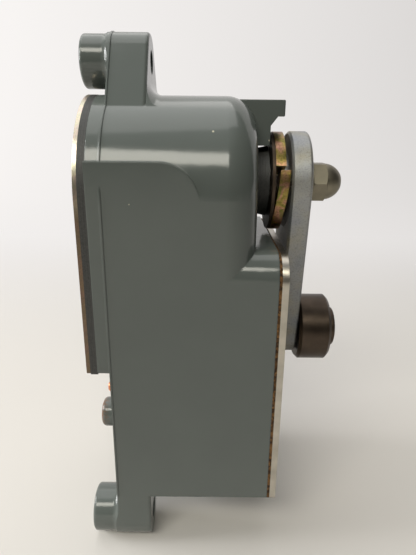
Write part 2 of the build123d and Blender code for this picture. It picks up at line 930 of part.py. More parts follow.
with BuildPart() as cap_nut:
    nut_corner = nut_flats / math.sqrt(3)
    with BuildSketch(Plane.YZ.offset(nut_x)):
        with Locations((0, shaft_z)):
            RegularPolygon(nut_flats / 2, 6, major_radius=False)
    extrude(amount=nut_length)
    with BuildSketch(Plane.XZ):
        with BuildLine():
            Line((nut_x, shaft_z), (nut_x, shaft_z + nut_flats / 2))
            Line((nut_x, shaft_z + nut_flats / 2), (nut_x + nut_chamfer, shaft_z + nut_corner))
            Line(
                (nut_x + nut_chamfer, shaft_z + nut_corner),
                (nut_x + nut_hex_length - nut_chamfer, shaft_z + nut_corner),
            )
            Line(
                (nut_x + nut_hex_length - nut_chamfer, shaft_z + nut_corner),
                (nut_x + nut_hex_length, shaft_z + nut_flats / 2),
            )
            dome = SagittaArc(
                (nut_x + nut_hex_length, shaft_z + nut_flats / 2),
                (nut_x + nut_length, shaft_z + nut_tip_radius),
                nut_dome_bulge,
            )
            Line(dome @ 1, (nut_x + nut_length, shaft_z))
            Line((nut_x + nut_length, shaft_z), (nut_x, shaft_z))
        make_face()
    revolve(axis=shaft_axis, mode=Mode.INTERSECT)
    cylinder_x(
        nut_x,
        nut_length - stud_end_room + sliding_gap,
        stud_radius + seat_gap,
        [(0, shaft_z)],
        Mode.SUBTRACT,
    )
cap_nut.part.label = "cap_nut"

# Roller, its bushing and its pin
with BuildPart() as roller:
    cylinder_x(roller_x, roller_width, roller_radius, [(0, roller_z)])
    chamfer(roller.edges().filter_by(GeomType.CIRCLE), roller_chamfer)
    cylinder_x(roller_x, roller_width, bush_radius + seat_gap, [(0, roller_z)], Mode.SUBTRACT)
roller.part.label = "roller"

with BuildPart() as roller_bushing:
    cylinder_x(roller_x, roller_width, bush_radius, [(0, roller_z)])
    cylinder_x(
        roller_x,
        roller_width,
        roller_pin_radius + running_gap,
        [(0, roller_z)],
        Mode.SUBTRACT,
    )
roller_bushing.part.label = "roller_bushing"

with BuildPart() as roller_pin:
    cylinder_x(pin_head_x, pin_head_thickness, pin_head_radius, [(0, roller_z)])
    fillet(roller_pin.faces().sort_by(Axis.X)[-1].edges(), pin_head_round)
    cylinder_x(lever_back, pin_head_x - lever_back, roller_pin_radius, [(0, roller_z)])
roller_pin.part.label = "roller_pin"

# Crank with its pin and its set screw
with BuildPart() as crank:
    cylinder_x(crank_back, crank_thickness, crank_radius, [(0, shaft_z)])
    chamfer(crank.edges().filter_by(GeomType.CIRCLE), edge_round / 2)
    cylinder_x(crank_back, crank_thickness, shaft_radius + seat_gap, [(0, shaft_z)], Mode.SUBTRACT)
    cylinder_x(
        crank_back,
        crank_thickness,
        crank_pin_radius + seat_gap,
        [(crank_throw, shaft_z)],
        Mode.SUBTRACT,
    )
    with BuildSketch(Plane.XY.offset(shaft_z + shaft_radius)):
        with Locations((crank_back + crank_thickness / 2, 0)):
            Circle(crank_screw_radius + seat_gap)
    extrude(amount=crank_radius, mode=Mode.SUBTRACT)
crank.part.label = "crank"

with BuildPart() as crank_pin:
    cylinder_x(
        crank_back - crank_pin_reach,
        crank_pin_reach + crank_thickness,
        crank_pin_radius,
        [(crank_throw, shaft_z)],
    )
    chamfer(crank_pin.faces().sort_by(Axis.X)[0].edges(), edge_round / 2)
crank_pin.part.label = "crank_pin"

with BuildPart() as crank_screw:
    with BuildSketch(Plane.XY.offset(shaft_z + shaft_radius + seat_gap)):
        with Locations((crank_back + crank_thickness / 2, 0)):
            Circle(crank_screw_radius)
    extrude(amount=crank_screw_length)
    with BuildSketch(Plane.XY.offset(shaft_z + shaft_radius + seat_gap + crank_screw_length - slot_depth)):
        with Locations((crank_back + crank_thickness / 2, 0)):
            Rectangle(2 * (crank_screw_radius + slot_width), crank_screw_slot)
    extrude(amount=slot_depth, mode=Mode.SUBTRACT)
crank_screw.part.label = "crank_screw"

# Sliding plate that the crank pin lifts and lowers
with BuildPart() as operating_slide:
    block_yz(
        slide_back,
        slide_thickness,
        slide_head_width,
        shaft_z - slide_head_bottom,
        shaft_z + slide_head_top,
        centre=slide_head_offset,
    )
    block_yz(slide_back, slide_thickness, slide_stem_width, shaft_z - slide_tail, shaft_z)
    fillet(operating_slide.edges().filter_by(Axis.X).group_by(Axis.Z)[-1], slide_corner)
    with BuildSketch(Plane.YZ.offset(slide_back)):
        with Locations((slide_slot_centre, shaft_z)):
            SlotOverall(slide_slot_length, 2 * (crank_pin_radius + sliding_gap))
    extrude(amount=slide_thickness, mode=Mode.SUBTRACT)
    # Tab between the two springs
    block_yz(
        guide_plate_back + guide_sheet + sliding_gap,
        slide_back - guide_plate_back - guide_sheet - sliding_gap,
        tab_width,
        shaft_z - tab_height - tab_thickness / 2,
        shaft_z - tab_height + tab_thickness / 2,
    )
    tang_place = [(0, shaft_z - tang_drop)]
    cylinder_x(slide_back, slide_thickness, carriage_screw_radius + seat_gap, tang_place, Mode.SUBTRACT)
    flat_head(
        slide_back,
        carriage_screw_head_radius + seat_gap,
        carriage_screw_radius + seat_gap,
        tang_place,
        Mode.SUBTRACT,
        inward=1,
    )
operating_slide.part.label = "operating_slide"

# Bracket that guides the slide and seats the springs
with BuildPart() as slide_guide:
    guide_low = shaft_z - guide_bottom_drop
    guide_high = shaft_z - guide_top_drop
    block_yz(guide_plate_back, guide_sheet, guide_width, guide_low, guide_high)
    for drop in (guide_post_low, guide_post_high):
        block_yz(
            guide_plate_back,
            guide_sheet,
            guide_wing_width,
            shaft_z - drop - guide_wing_height / 2,
            shaft_z - drop + guide_wing_height / 2,
        )
    for ear_low in (guide_low, guide_high - guide_sheet):
        block_yz(
            guide_plate_back,
            slide_front - guide_plate_back,
            guide_width,
            ear_low,
            ear_low + guide_sheet,
        )
    block_yz(
        slide_back - sliding_gap,
        slide_thickness + sliding_gap,
        slide_stem_width + 2 * sliding_gap,
        guide_low,
        guide_high,
        mode=Mode.SUBTRACT,
    )
    cylinder_x(
        guide_plate_back,
        guide_sheet,
        guide_screw_radius + screw_hole_gap,
        guide_post_places,
        Mode.SUBTRACT,
    )
slide_guide.part.label = "slide_guide"

with BuildPart() as guide_screws:
    guide_head_x = guide_plate_back - guide_screw_head
    cylinder_x(guide_head_x, guide_screw_head, guide_screw_head_radius, guide_post_places)
    slot_across(guide_head_x, slot_depth, guide_screw_head_radius, guide_post_places)
    cylinder_x(guide_plate_back, guide_screw_length, guide_screw_radius, guide_post_places)
guide_screws.part.label = "guide_screws"

# Springs over and under the tab, which centre the slide
spring_x = (guide_plate_back + guide_sheet + slide_back) / 2
tab_low = shaft_z - tab_height - tab_thickness / 2
tab_high = shaft_z - tab_height + tab_thickness / 2
lower_spring = coil(
    spring_x,
    0,
    guide_low + guide_sheet + spring_seat_gap,
    tab_low - spring_seat_gap,
    spring_radius,
    spring_wire_radius,
    spring_turns,
)
lower_spring.label = "lower_spring"
upper_spring = coil(
    spring_x,
    0,
    tab_high + spring_seat_gap,
    guide_high - guide_sheet - spring_seat_gap,
    spring_radius,
    spring_wire_radius,
    spring_turns,
)
upper_spring.label = "upper_spring"

# Carriage for the moving contact
carriage_back = block_plate_front + sliding_gap
with BuildPart() as carriage:
    block_yz(
        carriage_back,
        carriage_depth,
        carriage_width,
        shaft_z - carriage_bottom_drop,
        shaft_z - tang_drop + tang_height / 2,
    )
    block_yz(
        slide_front,
        carriage_back - slide_front,
        tang_width,
        shaft_z - tang_drop - tang_height / 2,
        shaft_z - tang_drop + tang_height / 2,
    )
    block_yz(
        bridge_x + bridge_width / 2 - carriage_window_depth / 2,
        carriage_window_depth,
        carriage_width,
        contact_z - carriage_window_height / 2,
        contact_z + carriage_window_height / 2,
        mode=Mode.SUBTRACT,
    )
    cylinder_x(
        slide_front,
        carriage_screw_length,
        carriage_screw_radius + seat_gap,
        tang_place,
        Mode.SUBTRACT,
    )
carriage.part.label = "carriage"

with BuildPart() as carriage_screw:
    cylinder_x(slide_back, carriage_screw_length, carriage_screw_radius, tang_place)
    flat_head(
        slide_back,
        carriage_screw_head_radius,
        carriage_screw_radius,
        tang_place,
        inward=1,
    )
    slot_across(slide_back, slot_depth, carriage_screw_head_radius, tang_place)
carriage_screw.part.label = "carriage_screw"

with BuildPart() as moving_contact:
    block_yz(
        bridge_x,
        bridge_width,
        2 * bridge_half_span,
        contact_z - bridge_thickness / 2,
        contact_z + bridge_thickness / 2,
    )
    with BuildSketch(Plane.XY.offset(contact_z - bridge_thickness / 2 - tip_thickness)):
        with Locations((bridge_x + bridge_width / 2, tip_side), (bridge_x + bridge_width / 2, -tip_side)):
            Circle(tip_radius)
    extrude(amount=bridge_thickness + 2 * tip_thickness)
moving_contact.part.label = "moving_contact"

spring_room = (carriage_window_height - bridge_thickness) / 2
contact_springs = Compound(
    label="contact_springs",
    children=[
        coil(
            bridge_x + bridge_width / 2,
            0,
            low + spring_seat_gap / 2,
            low + spring_room - spring_seat_gap / 2,
            contact_spring_radius,
            contact_spring_wire,
            contact_spring_turns,
        )
        for low in (contact_z - carriage_window_height / 2, contact_z + bridge_thickness / 2)
    ],
)

# Moulded block that carries the fixed contacts
block_top = shaft_z - block_top_drop
block_bottom = shaft_z - block_bottom_drop
upper_strip_z = contact_z + strip_offset
lower_strip_z = contact_z - strip_offset - strip_thickness
with BuildPart() as contact_block:
    block_yz(block_back, block_plate, block_width, block_bottom, block_top)
    for side in (-1, 1):
        for low, high in (
            (block_bottom, lower_strip_z),
            (upper_strip_z + strip_thickness, block_top),
        ):
            block_yz(
                block_plate_front,
                block_front - block_plate_front - strip_thickness,
                tower_width,
                low,
                high,
                centre=side * terminal_side,
            )
        block_yz(
            block_plate_front,
            rib_depth,
            rib_width,
            lower_strip_z + strip_thickness,
            upper_strip_z,
            centre=side * (carriage_width / 2 + sliding_gap + rib_width / 2),
        )
    # Open slot for the tang
    block_yz(
        block_back,
        block_plate,
        tang_width + 2 * tang_side_gap,
        shaft_z - tang_drop - tang_height / 2 - slide_travel - sliding_gap,
        block_top,
        mode=Mode.SUBTRACT,
    )
    cylinder_x(
        block_back,
        block_plate,
        block_screw_radius + screw_hole_gap,
        block_screw_places,
        Mode.SUBTRACT,
    )
    terminal_places = [
        (side * terminal_side, height)
        for side in (-1, 1)
        for height in (
            (block_bottom + lower_strip_z) / 2,
            (block_top + upper_strip_z + strip_thickness) / 2,
        )
    ]
    cylinder_x(
        block_front - terminal_screw_length,
        terminal_screw_length,
        terminal_screw_radius + seat_gap,
        terminal_places,
        Mode.SUBTRACT,
    )
contact_block.part.label = "contact_block"

with BuildPart() as block_screws:
    cylinder_x(block_plate_front, block_screw_head, block_screw_head_radius, block_screw_places)
    slot_across(
        block_plate_front + block_screw_head - slot_depth,
        slot_depth,
        block_screw_head_radius,
        block_screw_places,
    )
    cylinder_x(
        block_plate_front - block_screw_length,
        block_screw_length,
        block_screw_radius,
        block_screw_places,
    )
block_screws.part.label = "block_screws"


def fixed_contact(side, strip_low, leg_low, leg_high, tip_low):
    """One bent contact strip with its silver tip, added to the open part."""
    block_yz(
        block_plate_front,
        block_front - block_plate_front,
        strip_width,
        strip_low,
        strip_low + strip_thickness,
        centre=side * terminal_side,
    )
    block_yz(
        block_front - strip_thickness,
        strip_thickness,
        strip_width,
        leg_low,
        leg_high,
        centre=side * terminal_side,
    )
    with BuildSketch(Plane.XY.offset(tip_low)) as tip:
        with Locations((bridge_x + bridge_width / 2, side * tip_side)):
            Circle(tip_radius)
    extrude(tip.sketch, amount=tip_thickness)


with BuildPart() as upper_contacts:
    for side in (-1, 1):
        fixed_contact(side, upper_strip_z, upper_strip_z, block_top, upper_strip_z - tip_thickness)
    cylinder_x(
        block_front - strip_thickness,
        strip_thickness,
        terminal_screw_radius + screw_hole_gap,
        terminal_places[1::2],
        Mode.SUBTRACT,
    )
upper_contacts.part.label = "upper_contacts"

with BuildPart() as lower_contacts:
    for side in (-1, 1):
        fixed_contact(
            side,
            lower_strip_z,
            block_bottom,
            lower_strip_z + strip_thickness,
            lower_strip_z + strip_thickness,
        )
    cylinder_x(
        block_front - strip_thickness,
        strip_thickness,
        terminal_screw_radius + screw_hole_gap,
        terminal_places[0::2],
        Mode.SUBTRACT,
    )
lower_contacts.part.label = "lower_contacts"

with BuildPart() as terminal_clamps:
    cylinder_x(block_front, terminal_clamp_thickness, terminal_clamp_radius, terminal_places)
    cylinder_x(
        block_front,
        terminal_clamp_thickness,
        terminal_screw_radius + screw_hole_gap,
        terminal_places,
        Mode.SUBTRACT,
    )
terminal_clamps.part.label = "terminal_clamps"

with BuildPart() as terminal_screws:
    terminal_head_x = block_front + terminal_clamp_thickness
    cylinder_x(terminal_head_x, terminal_head_height, terminal_head_radius, terminal_places)
    slot_across(
        terminal_head_x + terminal_head_height - slot_depth,
        slot_depth,
        terminal_head_radius,
        terminal_places,
    )
    cylinder_x(
        terminal_head_x - terminal_screw_length,
        terminal_screw_length,
        terminal_screw_radius,
        terminal_places,
    )
terminal_screws.part.label = "terminal_screws"

pieces = [
    housing.part,
    rear_gasket.part,
    rear_cover.part,
    rear_cover_screws.part,
    front_gasket.part,
    front_cover.part,
    front_cover_screws.part,
    rear_plug.part,
    ground_screw.part,
    shaft_bushing.part,
    shaft.part,
    retaining_ring.part,
    shaft_seal.part,
    backing_washer.part,
    split_lock_washer.part,
    lever.part,
    nut_washer.part,
    cap_nut.part,
    roller.part,
    roller_bushing.part,
    roller_pin.part,
    crank.part,
    crank_pin.part,
    crank_screw.part,
    operating_slide.part,
    slide_guide.part,
    guide_screws.part,
    lower_spring,
    upper_spring,
    carriage.part,
    carriage_screw.part,
    moving_contact.part,
    contact_springs,
    contact_block.part,
    block_screws.part,
    upper_contacts.part,
    lower_contacts.part,
    terminal_clamps.part,
    terminal_screws.part,
]

os.makedirs("parts", exist_ok=True)
for piece in pieces:
    export_step(piece, f"parts/{piece.label}.step")
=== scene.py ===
"""Finishes, fine detail and a small studio for a roller lever limit switch.

Lengths are metres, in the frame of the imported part: +X out of the front, +Z up.
"""

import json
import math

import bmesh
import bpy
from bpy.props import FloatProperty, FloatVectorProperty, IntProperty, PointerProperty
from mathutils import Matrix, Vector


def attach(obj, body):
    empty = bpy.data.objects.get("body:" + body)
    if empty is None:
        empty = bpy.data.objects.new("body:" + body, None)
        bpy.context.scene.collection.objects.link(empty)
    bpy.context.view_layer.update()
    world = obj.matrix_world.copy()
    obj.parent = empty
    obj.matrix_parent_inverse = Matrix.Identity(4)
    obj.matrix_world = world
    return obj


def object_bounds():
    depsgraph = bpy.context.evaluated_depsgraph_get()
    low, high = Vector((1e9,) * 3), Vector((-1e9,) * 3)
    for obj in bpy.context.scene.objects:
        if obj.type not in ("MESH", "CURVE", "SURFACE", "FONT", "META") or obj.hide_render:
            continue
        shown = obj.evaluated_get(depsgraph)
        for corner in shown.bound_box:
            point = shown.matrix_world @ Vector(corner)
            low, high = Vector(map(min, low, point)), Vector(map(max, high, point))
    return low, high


bl_info = {
    "name": "Roller Lever Limit Switch",
    "version": (1, 0, 0),
    "blender": (4, 5, 0),
    "location": "3D View > Sidebar > Switch",
    "description": "Dresses a roller lever limit switch and lights it",
    "category": "Object",
}

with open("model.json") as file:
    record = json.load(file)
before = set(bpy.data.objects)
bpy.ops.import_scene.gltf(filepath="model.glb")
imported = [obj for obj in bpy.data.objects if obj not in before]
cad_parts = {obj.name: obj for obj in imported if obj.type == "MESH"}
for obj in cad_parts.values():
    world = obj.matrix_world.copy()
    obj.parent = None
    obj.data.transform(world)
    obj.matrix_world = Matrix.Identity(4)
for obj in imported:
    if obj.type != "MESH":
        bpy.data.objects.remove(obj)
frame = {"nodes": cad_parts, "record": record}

CAD_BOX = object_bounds()
MM = 0.001
# Middle of the plug at the end of its boss
PLUG_FACE = (2.15 * MM, -13.5 * MM, 28.0 * MM)
# Share of a dust cell that its speck fills, and share of the cells that stay clean
SPECK_RADIUS = 0.035
CLEAN_CELLS = 0.6
# Distances from the plug where its rust ends and where it is whole, with a ragged edge
RUST_END = 6.0 * MM
RUST_WHOLE = 4.6 * MM
RUST_RAGGED = 3.0 * MM
# Depths of the reliefs
ENAMEL_RELIEF = 0.012 * MM
RUBBER_RELIEF = 0.008 * MM
CHROMATE_RELIEF = 0.02 * MM
CORK_RELIEF = 0.05 * MM
TURNED_RELIEF = 0.006 * MM
CASTING_RELIEF = 0.06 * MM
RUST_RELIEF = 0.1 * MM
PHENOLIC_RELIEF = 0.01 * MM
# Slow waves of the casting, in depths of the orange peel on them
WAVE_OVER_PEEL = 8.0
# Height over which the cover's darker brown comes in, to each side of its level
DARKER_BELOW_BLEND = 6 * MM
# Heights of the lever's roller end and of its hub, between which its painted shade fades
ARM_END = 52 * MM
ARM_HUB = 92 * MM
# Level under which the rear cover is darker and browner
COVER_DARKER_BELOW = 92 * MM


def from_hex(code):
    """Turn an sRGB hex colour into linear red, green and blue."""
    values = [int(code[place : place + 2], 16) / 255 for place in (1, 3, 5)]
    return tuple(v / 12.92 if v <= 0.04045 else ((v + 0.055) / 1.055) ** 2.4 for v in values)


def colour_property(name, description, code):
    """A user colour that starts from an sRGB hex value."""
    return FloatVectorProperty(
        name=name,
        description=description,
        default=from_hex(code),
        size=3,
        min=0.0,
        max=1.0,
        subtype="COLOR",
    )


def length_property(name, description, millimetres):
    """A user length that starts from a size in millimetres."""
    return FloatProperty(
        name=name,
        description=description,
        default=millimetres * MM,
        min=0.0,
        precision=5,
        subtype="DISTANCE",
        unit="LENGTH",
    )


class SwitchColours(bpy.types.PropertyGroup):
    """Colours of the finishes."""

    enamel: colour_property("Enamel", "Grey-green enamel on the casting", "#646A66")
    rubber: colour_property("Rubber", "Rear gasket and shaft seal", "#3A3A38")
    cork: colour_property("Cork", "Front gasket", "#5E4326")
    zinc_gold: colour_property("Zinc gold", "Gold of the yellow chromate", "#B5A05A")
    zinc_olive: colour_property("Zinc olive", "Olive of the yellow chromate", "#74743C")
    zinc_pink: colour_property("Zinc pink", "Pink of the yellow chromate", "#CF9A82")
    nickel: colour_property("Nickel", "Front cover", "#B4AEA2")
    casting: colour_property("Casting", "Bare zinc of the lever", "#A6A7A6")
    olive: colour_property("Olive nut", "Olive chromate of the cap nut", "#817B6B")
    oxide: colour_property("Black oxide", "Roller and its pin", "#4A4037")
    steel: colour_property("Steel", "Plated and ground steel", "#B9B8B2")
    brass: colour_property("Brass", "Contacts and terminals", "#C9A65E")
    copper: colour_property("Copper", "Ground screw", "#D9926B")
    rust: colour_property("Rust", "Rusty plug", "#7A4A24")
    phenolic: colour_property("Phenolic", "Moulded block", "#1D1B1A")
    brown_phenolic: colour_property("Brown phenolic", "Moulded carriage", "#4A2E1E")
    dust: colour_property("Dust", "Specks on the enamel", "#CFC9B4")
    thin_film: colour_property("Thin film", "Zinc under a thin chromate", "#D9D8CE")
    tarnish: colour_property("Tarnish", "Brown that multiplies old plating", "#6B5240")
    cool_zinc: colour_property("Cool zinc", "Cool patches of the lever", "#999CA2")
    warm_zinc: colour_property("Warm zinc", "Warm patches of the lever", "#AEAA9C")


class SwitchDetail(bpy.types.PropertyGroup):
    """Real sizes of the fine detail."""

    orange_peel: length_property("Orange peel", "Spacing of the ripple in the enamel", 1.4)
    casting_wave: length_property("Casting wave", "Spacing of the slow waves in the casting", 16.0)
    edge_round: length_property("Edge round", "Radius that paint leaves on an edge", 0.45)
    metal_edge: length_property("Metal edge", "Radius on the edges of bare metal", 0.12)
    casting_grain: length_property("Casting grain", "Grain of the bare lever", 0.35)
    plating_patch: length_property("Plating patch", "Size of a colour patch in the plating", 3.5)
    plating_grain: length_property("Plating grain", "Speckle in the plating", 0.4)
    cork_grain: length_property("Cork grain", "Grains of the cork gasket", 0.6)
    turning_mark: length_property("Turning mark", "Spacing of turning marks, drawn coarse", 0.3)
    dust_spacing: length_property("Dust spacing", "Spacing of specks on the enamel", 7.0)
    thread_pitch: length_property("Thread pitch", "Pitch of the conduit thread", 1.814)
    thread_depth: length_property("Thread depth", "Height of the thread over its wall", 0.5)
    thread_steps: IntProperty(
        name="Thread steps", description="Points in one turn of the thread", default=72, min=12
    )


class SwitchStudio(bpy.types.PropertyGroup):
    """Camera and lights."""

    camera_place: FloatVectorProperty(
        name="Camera place",
        description="Where the camera stands",
        default=(31.12 * MM, -129.84 * MM, 107.94 * MM),
        size=3,
        subtype="TRANSLATION",
        unit="LENGTH",
    )
    camera_pitch: FloatProperty(
        name="Camera pitch",
        description="How far the camera looks down",
        default=math.radians(18.69),
        subtype="ANGLE",
        unit="ROTATION",
    )
    camera_yaw: FloatProperty(
        name="Camera yaw",
        description="How far the camera looks to its right",
        default=math.radians(0.16),
        subtype="ANGLE",
        unit="ROTATION",
    )
    camera_roll: FloatProperty(
        name="Camera roll",
        description="How far the camera leans",
        default=math.radians(0.61),
        subtype="ANGLE",
        unit="ROTATION",
    )
    lens: FloatProperty(name="Lens", description="Focal length in mm", default=30.79, min=1.0)
    world_light: FloatProperty(
        name="World light", description="Strength of the room's light", default=1.0, min=0.0
    )
    key_light: FloatProperty(
        name="Key light", description="Watts of the softbox overhead", default=1.5, min=0.0
    )
    side_light: FloatProperty(
        name="Side light", description="Watts of the light from the left", default=4.8, min=0.0
    )
    window_light: FloatProperty(
        name="Window light",
        description="Watts of the window behind the camera",
        default=5.6,
        min=0.0,
    )
    background: colour_property("Background", "Paper behind the switch", "#EBE8E6")
    floor: colour_property("Floor", "Paper under the switch", "#DFDBD6")


def add_node(tree, kind, settings=None, values=None, links=None, stops=()):
    """Add one shader node with its settings, socket values, incoming links and colour stops."""
    made = tree.nodes.new(kind)
    for name, value in (settings or {}).items():
        setattr(made, name, value)
    for socket, value in (values or {}).items():
        made.inputs[socket].default_value = value
    for socket, source in (links or {}).items():
        tree.links.new(source, made.inputs[socket])
    for index, (place, colour) in enumerate(stops):
        elements = made.color_ramp.elements
        element = elements[index] if index < len(elements) else elements.new(place)
        element.position = place
        element.color = (*colour, 1.0)
    return made


def start_finish(name, metallic, roughness, colour=None, ior=None):
    """A new node material with its shader and its coordinates, in metres in the part's frame."""
    finish = bpy.data.materials.new(name)
    finish.use_nodes = True
    tree = finish.node_tree
    shader = tree.nodes["Principled BSDF"]
    shader.inputs["Metallic"].default_value = metallic
    shader.inputs["Roughness"].default_value = roughness
    if ior:
        shader.inputs["IOR"].default_value = ior
    if colour:
        shader.inputs["Base Color"].default_value = (*colour, 1.0)
    place = add_node(tree, "ShaderNodeTexCoord").outputs["Object"]
    return finish, tree, shader, place


def scaled(colour, factor):
    """A colour made darker or lighter."""
    return tuple(min(1.0, value * factor) for value in colour)


def soft_bump(tree, shader, height, depth, edge):
    """Relief of a real depth over edges of a real radius, led to the shader."""
    rounded = add_node(tree, "ShaderNodeBevel", {"samples": 4}, {"Radius": edge})
    bump = add_node(
        tree,
        "ShaderNodeBump",
        values={"Strength": 1.0, "Distance": depth},
        links={"Height": height, "Normal": rounded.outputs["Normal"]},
    )
    tree.links.new(bump.outputs["Normal"], shader.inputs["Normal"])


def grey_green_enamel(colours, detail):
    """Sprayed stoving enamel on a zinc casting: glossy, with orange peel and slow waves."""
    finish, tree, shader, place = start_finish("grey_green_enamel", 0.0, 0.3, ior=1.5)
    wave = add_node(
        tree,
        "ShaderNodeTexNoise",
        values={"Scale": 1 / detail.casting_wave, "Detail": 2.0},
        links={"Vector": place},
    )
    tone = add_node(
        tree,
        "ShaderNodeValToRGB",
        links={"Fac": wave.outputs["Fac"]},
        stops=((0.3, scaled(colours.enamel, 0.97)), (0.7, scaled(colours.enamel, 1.03))),
    )
    # Dust specks that lie on the paint
    cells = add_node(
        tree,
        "ShaderNodeTexVoronoi",
        values={"Scale": 1 / detail.dust_spacing, "Randomness": 1.0},
        links={"Vector": place},
    )
    near = add_node(
        tree,
        "ShaderNodeMath",
        {"operation": "LESS_THAN"},
        {1: SPECK_RADIUS},
        {0: cells.outputs["Distance"]},
    )
    split = add_node(tree, "ShaderNodeSeparateColor", links={"Color": cells.outputs["Color"]})
    few = add_node(
        tree,
        "ShaderNodeMath",
        {"operation": "GREATER_THAN"},
        {1: CLEAN_CELLS},
        {0: split.outputs["Red"]},
    )
    speck = add_node(
        tree,
        "ShaderNodeMath",
        {"operation": "MULTIPLY"},
        links={0: near.outputs["Value"], 1: few.outputs["Value"]},
    )
    dusty = add_node(
        tree,
        "ShaderNodeMix",
        {"data_type": "RGBA"},
        {"B": (*colours.dust, 1.0)},
        {"Factor": speck.outputs["Value"], "A": tone.outputs["Color"]},
    )
    # Rust that has run from the plug over its boss
    reach = add_node(
        tree,
        "ShaderNodeVectorMath",
        {"operation": "DISTANCE"},
        {1: PLUG_FACE},
        {0: place},
    )
    ragged = add_node(
        tree,
        "ShaderNodeTexNoise",
        values={"Scale": 1 / detail.plating_grain, "Detail": 4.0},
        links={"Vector": place},
    )
    edge = add_node(
        tree,
        "ShaderNodeMath",
        {"operation": "MULTIPLY_ADD"},
        {1: RUST_RAGGED},
        {0: ragged.outputs["Fac"], 2: reach.outputs["Value"]},
    )
    stained = add_node(
        tree,
        "ShaderNodeMapRange",
        values={"From Min": RUST_END, "From Max": RUST_WHOLE},
        links={"Value": edge.outputs["Value"]},
    )
    rusty = add_node(
        tree,
        "ShaderNodeMix",
        {"data_type": "RGBA"},
        {"B": (*colours.rust, 1.0)},
        {"Factor": stained.outputs["Result"], "A": dusty.outputs["Result"]},
    )
    tree.links.new(rusty.outputs["Result"], shader.inputs["Base Color"])
    sheen = add_node(
        tree,
        "ShaderNodeMapRange",
        values={"To Min": 0.11, "To Max": 0.17},
        links={"Value": wave.outputs["Fac"]},
    )
    tree.links.new(sheen.outputs["Result"], shader.inputs["Roughness"])
    peel = add_node(
        tree,
        "ShaderNodeTexNoise",
        values={"Scale": 1 / detail.orange_peel, "Detail": 3.0},
        links={"Vector": place},
    )
    relief = add_node(
        tree,
        "ShaderNodeMath",
        {"operation": "MULTIPLY_ADD"},
        {1: WAVE_OVER_PEEL},
        {0: wave.outputs["Fac"], 2: peel.outputs["Fac"]},
    )
    soft_bump(tree, shader, relief.outputs["Value"], ENAMEL_RELIEF, detail.edge_round)
    return finish


def moulded_rubber(colours, detail):
    """Black nitrile rubber, moulded and dull, with the fine rings of its mould."""
    finish, tree, shader, place = start_finish("moulded_rubber", 0.0, 0.55, ior=1.52)
    axes = add_node(tree, "ShaderNodeSeparateXYZ", links={"Vector": place})
    rings = add_node(
        tree,
        "ShaderNodeMath",
        {"operation": "MULTIPLY"},
        {1: math.pi / detail.turning_mark},
        {0: axes.outputs["X"]},
    )
    ring = add_node(
        tree, "ShaderNodeMath", {"operation": "SINE"}, links={0: rings.outputs["Value"]}
    )
    grain = add_node(
        tree,
        "ShaderNodeTexNoise",
        values={"Scale": 1 / detail.casting_grain, "Detail": 4.0},
        links={"Vector": place},
    )
    tone = add_node(
        tree,
        "ShaderNodeValToRGB",
        links={"Fac": grain.outputs["Fac"]},
        stops=((0.3, scaled(colours.rubber, 0.8)), (0.75, scaled(colours.rubber, 1.5))),
    )
    tree.links.new(tone.outputs["Color"], shader.inputs["Base Color"])
    relief = add_node(
        tree,
        "ShaderNodeMath",
        {"operation": "ADD"},
        links={0: grain.outputs["Fac"], 1: ring.outputs["Value"]},
    )
    soft_bump(tree, shader, relief.outputs["Value"], RUBBER_RELIEF, detail.metal_edge)
    return finish


def yellow_chromate(colours, detail, name, pale, bare=0.0, darker_below=0.0):
    """Zinc plate under a yellow chromate: gold, olive and pink films over bright metal."""
    finish, tree, shader, place = start_finish(name, 1.0, 0.34)
    patch = add_node(
        tree,
        "ShaderNodeTexNoise",
        values={"Scale": 1 / detail.plating_patch, "Detail": 3.0, "Distortion": 0.6},
        links={"Vector": place},
    )
    film = add_node(
        tree,
        "ShaderNodeValToRGB",
        links={"Fac": patch.outputs["Fac"]},
        stops=(
            (0.3, scaled(colours.zinc_olive, pale)),
            (0.46, scaled(colours.zinc_gold, pale)),
            (0.58, scaled(colours.zinc_pink, pale)),
            (0.7, scaled(colours.zinc_olive, 1.3 * pale)),
        ),
    )
    grain = add_node(
        tree,
        "ShaderNodeTexNoise",
        values={"Scale": 1 / detail.plating_grain, "Detail": 4.0, "Roughness": 0.7},
        links={"Vector": place},
    )
    speckle = add_node(
        tree,
        "ShaderNodeMapRange",
        values={"From Min": 0.35, "From Max": 0.6, "To Min": 0.45, "To Max": 1.0},
        links={"Value": grain.outputs["Fac"]},
    )
    tinted = add_node(
        tree,
        "ShaderNodeMix",
        {"data_type": "RGBA", "blend_type": "MULTIPLY"},
        {"Factor": 1.0},
        {"A": film.outputs["Color"], "B": speckle.outputs["Result"]},
    )
    # Where the film is thin the zinc shows
    thin = add_node(
        tree,
        "ShaderNodeMix",
        {"data_type": "RGBA"},
        {"Factor": bare, "B": (*colours.thin_film, 1.0)},
        {"A": tinted.outputs["Result"]},
    )
    # Darker and browner below a height
    axes = add_node(tree, "ShaderNodeSeparateXYZ", links={"Vector": place})
    low = add_node(
        tree,
        "ShaderNodeMapRange",
        values={
            "From Min": darker_below + DARKER_BELOW_BLEND,
            "From Max": darker_below - DARKER_BELOW_BLEND,
            "To Max": 0.85,
        },
        links={"Value": axes.outputs["Z"]},
    )
    dull = add_node(
        tree,
        "ShaderNodeMix",
        {"data_type": "RGBA", "blend_type": "MULTIPLY"},
        {"B": (*colours.tarnish, 1.0)},
        {"Factor": low.outputs["Result"], "A": thin.outputs["Result"]},
    )
    tree.links.new(dull.outputs["Result"], shader.inputs["Base Color"])
    soft_bump(tree, shader, grain.outputs["Fac"], CHROMATE_RELIEF, detail.metal_edge)
    return finish


